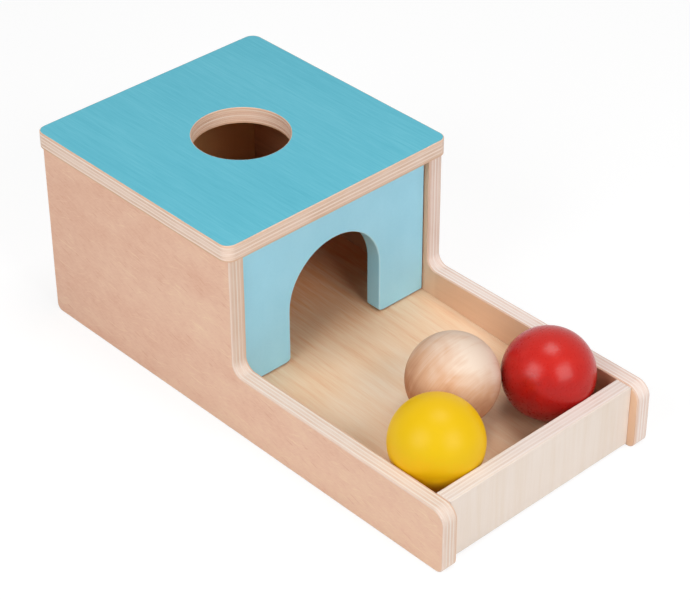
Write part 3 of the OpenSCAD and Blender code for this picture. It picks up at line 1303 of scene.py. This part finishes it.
@dataclass
class Dowels:
    """The hidden fluted dowels that join the boards, one piece for each joint."""

    flutes: int = 8
    flute_depth: float = 0.22
    flute_sharpness: float = 3.0
    bevel: float = 0.6
    columns_per_flute: int = 6
    nodes: tuple[str, ...] = ("lid_dowels", "arch_dowels", "rear_dowels", "rail_dowels")

    def tree(self) -> GeometrySheet:
        """Writes the tree that puts a fluted dowel on every point, along the point's axis.

        A rod of three equal segments becomes a dowel: its inner rings, a sixth of the length from
        the middle, get the flutes and move out to one bevel from the ends, and the end rings, a
        half of it from the middle, shrink by the bevel.

        Returns:
            The tree.
        """
        segments, between_rings = 3, 0.4
        inputs = {label: float for label in ("Radius", "Length", "Bevel", "Flute Depth")}
        inputs |= {"Flutes": int, "Finish": bpy.types.Material}
        sheet = GeometrySheet("fluted_dowels", inputs)
        given = sheet.given
        feeds = {
            "Vertices": sheet.math("MULTIPLY", given["Flutes"], float(self.columns_per_flute)),
            "Side Segments": segments,
            "Radius": given["Radius"],
            "Depth": given["Length"],
        }
        rod = sheet.add("GeometryNodeMeshCylinder", feeds).outputs["Mesh"]
        x, y, z = sheet.split(sheet.add("GeometryNodeInputPosition").outputs[0])
        limit = sheet.math("MULTIPLY", given["Length"], between_rings)
        is_end = sheet.math("GREATER_THAN", sheet.math("ABSOLUTE", z), limit)
        is_body = sheet.math("SUBTRACT", 1.0, is_end)
        turns = sheet.math("MULTIPLY", sheet.math("ARCTAN2", y, x), given["Flutes"])
        wave = sheet.math("MULTIPLY_ADD", sheet.math("COSINE", turns), 0.5, 0.5)
        valley = sheet.math("POWER", wave, self.flute_sharpness)
        groove = sheet.math("MULTIPLY", valley, given["Flute Depth"])
        groove = sheet.math("MULTIPLY", groove, is_body)
        cut = sheet.math("MULTIPLY_ADD", given["Bevel"], is_end, groove)
        girth = sheet.math("SUBTRACT", 1.0, sheet.math("DIVIDE", cut, given["Radius"]))
        drop = sheet.math("MULTIPLY", given["Bevel"], -2.0 * segments)
        growth = sheet.math("ADD", sheet.math("DIVIDE", drop, given["Length"]), segments - 1.0)
        stretch = sheet.math("MULTIPLY_ADD", is_body, growth, 1.0)
        feeds = {
            0: sheet.math("MULTIPLY", x, girth),
            1: sheet.math("MULTIPLY", y, girth),
            2: sheet.math("MULTIPLY", z, stretch),
        }
        moved = sheet.add("ShaderNodeCombineXYZ", feeds).outputs[0]
        shaped = sheet.add("GeometryNodeSetPosition", {"Geometry": rod, "Position": moved})
        along = sheet.add(
            "GeometryNodeInputNamedAttribute", {"Name": "dowel_axis"}, data_type="FLOAT_VECTOR"
        )
        feeds = {"Vector": along.outputs[0]}
        aligned = sheet.add("FunctionNodeAlignRotationToVector", feeds, axis="Z").outputs[0]
        feeds = {"Points": given["Geometry"], "Instance": shaped.outputs[0], "Rotation": aligned}
        sheet.end(sheet.add("GeometryNodeInstanceOnPoints", feeds).outputs[0])
        return sheet

    @staticmethod
    def islands(node: str) -> list[tuple[np.ndarray, np.ndarray]]:
        """Measures each separate solid of a CAD node.

        Args:
            node: The node's name.

        Returns:
            The lowest and highest corner of each solid, in metres.
        """
        merged = bmesh.new()
        merged.from_mesh(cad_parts[node].data)
        bmesh.ops.remove_doubles(merged, verts=merged.verts, dist=1e-6)
        waiting, found = set(merged.verts), []
        while waiting:
            open_ends, island = [waiting.pop()], []
            while open_ends:
                vertex = open_ends.pop()
                island.append(vertex.co[:])
                for edge in vertex.link_edges:
                    other = edge.other_vert(vertex)
                    if other in waiting:
                        waiting.remove(other)
                        open_ends.append(other)
            found.append((np.min(island, axis=0), np.max(island, axis=0)))
        merged.free()
        return sorted(found, key=lambda corners: corners[0].tolist())

    def build(self) -> None:
        """Grows the dowels of every joint in the places of their CAD solids."""
        sheet, wood = self.tree(), DOWEL_WOOD.material()
        for node in self.nodes:
            corners = self.islands(node)
            seeds = bpy.data.meshes.new(f"{node}_seeds")
            seeds.from_pydata([((low + high) / 2).tolist() for low, high in corners], [], [])
            axes = [np.eye(3)[np.argmax(high - low)] for low, high in corners]
            attribute = seeds.attributes.new("dowel_axis", "FLOAT_VECTOR", "POINT")
            attribute.data.foreach_set("vector", np.ravel(axes))
            extent = np.sort(corners[0][1] - corners[0][0])
            values = {
                "Radius": float(extent[0] / 2),
                "Length": float(extent[2]),
                "Bevel": self.bevel * MM,
                "Flutes": self.flutes,
                "Flute Depth": self.flute_depth * MM,
                "Finish": wood,
            }
            enrol(sheet.grow(f"{node}_fluted", seeds, values), ROOT, "hidden_wood", node)


@dataclass
class Balls:
    """The three turned balls, each of which moves by itself."""

    subdivisions: int = 7
    unevenness: float = 0.05
    swell: float = 14.0
    finishes: dict[str, BallFinish] = field(default_factory=BALL_FINISHES.copy)

    def tree(self) -> GeometrySheet:
        """Writes the tree that turns a ball on every point, a little uneven, as sanding leaves it.

        Returns:
            The tree.
        """
        inputs = {label: float for label in ("Radius", "Unevenness", "Swell")}
        inputs |= {"Subdivisions": int, "Seed": int, "Finish": bpy.types.Material}
        sheet = GeometrySheet("turned_ball", inputs)
        given = sheet.given
        feeds = {"Radius": given["Radius"], "Subdivisions": given["Subdivisions"]}
        ball = sheet.add("GeometryNodeMeshIcoSphere", feeds)
        place = sheet.add("GeometryNodeInputPosition").outputs[0]
        feeds = {0: place, "Scale": given["Swell"]}
        scaled = sheet.add("ShaderNodeVectorMath", feeds, operation="SCALE").outputs[0]
        noise = sheet.noise(sheet.vector("ADD", scaled, given["Seed"]), 1.0)
        dip = sheet.math("MULTIPLY", sheet.math("SUBTRACT", noise, 1.0), given["Unevenness"])
        feeds = {0: sheet.vector("NORMALIZE", place), "Scale": dip}
        offset = sheet.add("ShaderNodeVectorMath", feeds, operation="SCALE").outputs[0]
        feeds = {"Geometry": ball.outputs[0], "Offset": offset}
        shaped = sheet.add("GeometryNodeSetPosition", feeds).outputs[0]
        smooth = sheet.add("GeometryNodeSetShadeSmooth", {"Geometry": shaped}).outputs[0]
        feeds = {"Points": given["Geometry"], "Instance": smooth}
        sheet.end(sheet.add("GeometryNodeInstanceOnPoints", feeds).outputs[0])
        return sheet

    def build(self) -> None:
        """Grows each ball in the place of its CAD solid."""
        sheet = self.tree()
        for seed, (node, finish) in enumerate(self.finishes.items(), start=1):
            low, high = span(node)
            centre = (low + high) / 2
            seeds = bpy.data.meshes.new(f"{node}_seeds")
            seeds.from_pydata([(centre * MM).tolist()], [], [])
            values = {
                "Radius": float(np.min(high - low) / 2 * MM),
                "Subdivisions": self.subdivisions,
                "Unevenness": self.unevenness * MM,
                "Swell": 1 / (self.swell * MM),
                "Seed": seed,
                "Finish": finish.material(centre),
            }
            slot = f"ball_{node.removesuffix('_ball')}"
            enrol(sheet.grow(f"{node}_turned", seeds, values), node, slot, node)


# ---------------------------------------------------------------- studio


@dataclass(frozen=True)
class SoftBox:
    """A large soft lamp, placed by the direction that it shines from, with its sizes in metres."""

    name: str
    towards: tuple[float, float, float]
    distance: float
    size: float
    level: float

    def hang(self, centre: Vector) -> None:
        """Hangs the lamp so that a white surface square to it would shine at its level.

        Args:
            centre: The point that it shines at, in metres.
        """
        away = Vector(self.towards).normalized()
        data = bpy.data.lights.new(self.name, "AREA")
        data.shape, data.size = "SQUARE", self.size
        data.energy = self.level * math.pi**2 * self.distance**2
        lamp = bpy.data.objects.new(self.name, data)
        bpy.context.scene.collection.objects.link(lamp)
        lamp.location = centre + away * self.distance
        lamp.rotation_euler = away.to_track_quat("Z", "Y").to_euler()
        lamp.visible_camera = False


@dataclass
class Studio:
    """The white floor, the surroundings, the lamps and the camera.

    The floor reaches floor_half metres to each side. The other places are in millimetres.
    """

    camera_place: tuple[float, float, float] = (-641.43, -693.74, 716.74)
    camera_aim: tuple[float, float, float] = (-1.04, -6.37, 50.0)
    camera_roll: float = -0.213
    focal_length: float = 116.97
    floor_half: float = 6.0
    floor_white: float = 0.8
    floor_seen: float = 0.25
    floor_lift: float = 0.8
    ambient: float = 0.15
    aim: tuple[float, float, float] = (0.0, -90.0, 45.0)
    lamps: tuple[SoftBox, ...] = (
        SoftBox("top_soft_box", (0.16, 0.02, 0.99), 1.3, 0.55, 0.365),
        SoftBox("left_soft_box", (-0.84, 0.02, 0.54), 1.3, 0.75, 0.52),
        SoftBox("front_soft_box", (-0.02, -0.85, 0.53), 1.3, 0.75, 0.56),
    )

    @staticmethod
    def seen_directly(sheet: Sheet) -> Socket:
        """Tells what the camera sees, also in gloss or through glass, from what lights the object.

        Args:
            sheet: The sheet of the floor or the surroundings.

        Returns:
            The socket that gives 1 for what is seen and 0 for what only lights.
        """
        path = sheet.add("ShaderNodeLightPath").outputs
        some = sheet.math("MAXIMUM", path["Is Camera Ray"], path["Is Glossy Ray"])
        return sheet.math("MAXIMUM", some, path["Is Transmission Ray"])

    def floor(self) -> None:
        """Lays the floor, which looks white but for the object's shadow."""
        sheet = MaterialSheet("studio_floor")
        seen = self.seen_directly(sheet)
        bare, lifted = (
            sheet.add("ShaderNodeBsdfDiffuse", {"Color": (white, white, white, 1.0)}).outputs[0]
            for white in (self.floor_white, self.floor_seen)
        )
        glow = sheet.add("ShaderNodeEmission", {"Strength": self.floor_lift}).outputs[0]
        shown = sheet.add("ShaderNodeAddShader", {0: lifted, 1: glow}).outputs[0]
        both = sheet.add("ShaderNodeMixShader", {0: seen, 1: bare, 2: shown}).outputs[0]
        sheet.add("ShaderNodeOutputMaterial", {"Surface": both})
        mesh = bpy.data.meshes.new("studio_floor")
        half = self.floor_half
        corners = [(-half, -half, 0), (half, -half, 0), (half, half, 0), (-half, half, 0)]
        mesh.from_pydata(corners, [], [(0, 1, 2, 3)])
        mesh.materials.append(sheet.material)
        new_object("studio_floor", mesh)

    def surroundings(self) -> None:
        """Sets the even light from all round, which looks plain white."""
        world = bpy.data.worlds.new("studio_world")
        bpy.context.scene.world = world
        world.use_nodes = True
        sheet = Sheet(world.node_tree)
        seen = self.seen_directly(sheet)
        strength = sheet.math("MULTIPLY_ADD", seen, 1.0 - self.ambient, self.ambient)
        white = (1.0, 1.0, 1.0, 1.0)
        shine = sheet.add("ShaderNodeBackground", {"Color": white, "Strength": strength})
        sheet.add("ShaderNodeOutputWorld", {"Surface": shine.outputs[0]})

    def camera(self) -> None:
        """Sets the camera where the photograph was taken from."""
        data = bpy.data.cameras.new("photo_camera")
        data.lens = self.focal_length
        camera = bpy.data.objects.new("photo_camera", data)
        bpy.context.scene.collection.objects.link(camera)
        place, aim = Vector(self.camera_place) * MM, Vector(self.camera_aim) * MM
        look = (aim - place).to_track_quat("-Z", "Y").to_matrix().to_4x4()
        roll = Matrix.Rotation(math.radians(self.camera_roll), 4, "Z")
        camera.matrix_world = Matrix.Translation(place) @ look @ roll
        bpy.context.scene.camera = camera

    def build(self) -> None:
        """Sets up the whole studio."""
        self.camera()
        self.floor()
        self.surroundings()
        for lamp in self.lamps:
            lamp.hang(Vector(self.aim) * MM)
        bpy.context.scene.view_settings.view_transform = "Standard"


def main() -> None:
    """Builds the box, sub-assembly by sub-assembly."""
    for part in (Studio, SidePanels, Lid, ArchPanel, EndBoards, FloorAssembly, Dowels, Balls):
        log.info("building %s", part.__name__)
        part().build()


if __name__ == "__main__":
    main()
